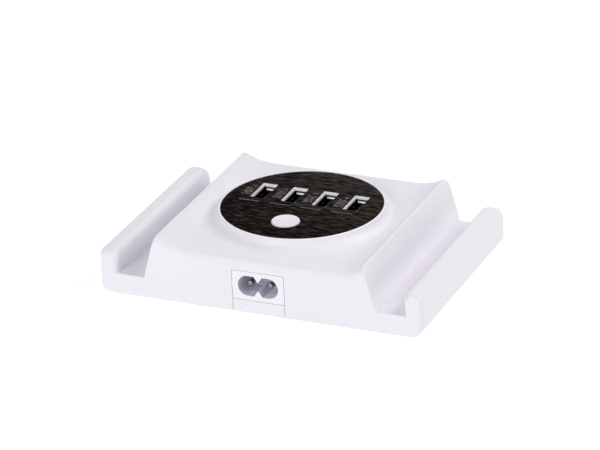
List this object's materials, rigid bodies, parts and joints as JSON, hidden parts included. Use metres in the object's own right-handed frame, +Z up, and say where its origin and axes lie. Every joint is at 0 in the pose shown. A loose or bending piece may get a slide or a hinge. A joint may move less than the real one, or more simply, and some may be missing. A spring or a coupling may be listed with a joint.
{
  "type": "multi-port usb charger",
  "caption": "Desk charger with a round dark disc of USB sockets and a push button, phone grooves and rails at both sides, and a figure-8 mains inlet.",
  "frame": {"origin": "on the table, under the middle of the case", "axes": "+X to the right seen from the inlet side, +Y to the back, +Z up"},
  "size_m": [0.137, 0.091, 0.0286],
  "materials": {
    "housing_white": "polished white moulding",
    "cover_white": "polished white moulding",
    "disc_dark": "dark streaked film, satin",
    "button_white": "polished white moulding",
    "foot_rubber": "matt",
    "screw_steel": "zinc plated",
    "socket_metal": "nickel plated sheet",
    "socket_black": "matt",
    "contact_gold": "gold flashed",
    "inlet_white": "satin white moulding",
    "pin_nickel": "nickel plated",
    "board_green": "solder mask",
    "part_black": "moulded",
    "ferrite_grey": "sintered",
    "winding_tape": "polyester tape",
    "can_sleeve": "sleeved can",
    "line_yellow": "moulded box",
    "sink_metal": "plain plate"
  },
  "bodies": {
    "case": {"board_link": "part_black", "board_screws": "screw_steel", "bottom_cover": "cover_white", "bridge_rectifier": "part_black", "bulk_capacitor_1": "can_sleeve", "bulk_capacitor_2": "can_sleeve", "case_screws": "screw_steel", "face_disc": "disc_dark", "foot_back_left": "foot_rubber", "foot_back_right": "foot_rubber", "foot_front_left": "foot_rubber", "foot_front_right": "foot_rubber", "fuse_link": "part_black", "inlet_housing": "inlet_white", "inlet_pin_left": "pin_nickel", "inlet_pin_right": "pin_nickel", "line_capacitor": "line_yellow", "line_choke": "winding_tape", "optocoupler": "part_black", "output_capacitor_1": "can_sleeve", "output_capacitor_2": "can_sleeve", "output_heat_sink": "sink_metal", "output_rectifier": "part_black", "power_board": "board_green", "primary_heat_sink": "sink_metal", "switch_body": "part_black", "switching_transistor": "part_black", "top_housing": "housing_white", "transformer_bobbin": "part_black", "transformer_core": "ferrite_grey", "transformer_winding": "winding_tape", "usb_board": "board_green", "usb_contacts_1": "contact_gold", "usb_contacts_2": "contact_gold", "usb_contacts_3": "contact_gold", "usb_contacts_4": "contact_gold", "usb_shell_1": "socket_metal", "usb_shell_2": "socket_metal", "usb_shell_3": "socket_metal", "usb_shell_4": "socket_metal", "usb_tongue_1": "socket_black", "usb_tongue_2": "socket_black", "usb_tongue_3": "socket_black", "usb_tongue_4": "socket_black"},
    "button": {"power_button": "button_white", "switch_plunger": "button_white"}
  },
  "joints": [
    {"name": "power_button_press", "type": "slide", "parent": "case", "child": "button", "axis": [0, 0, -1], "range_m": [0, 0.0012], "stiffness_N_per_m": 400}
  ]
}
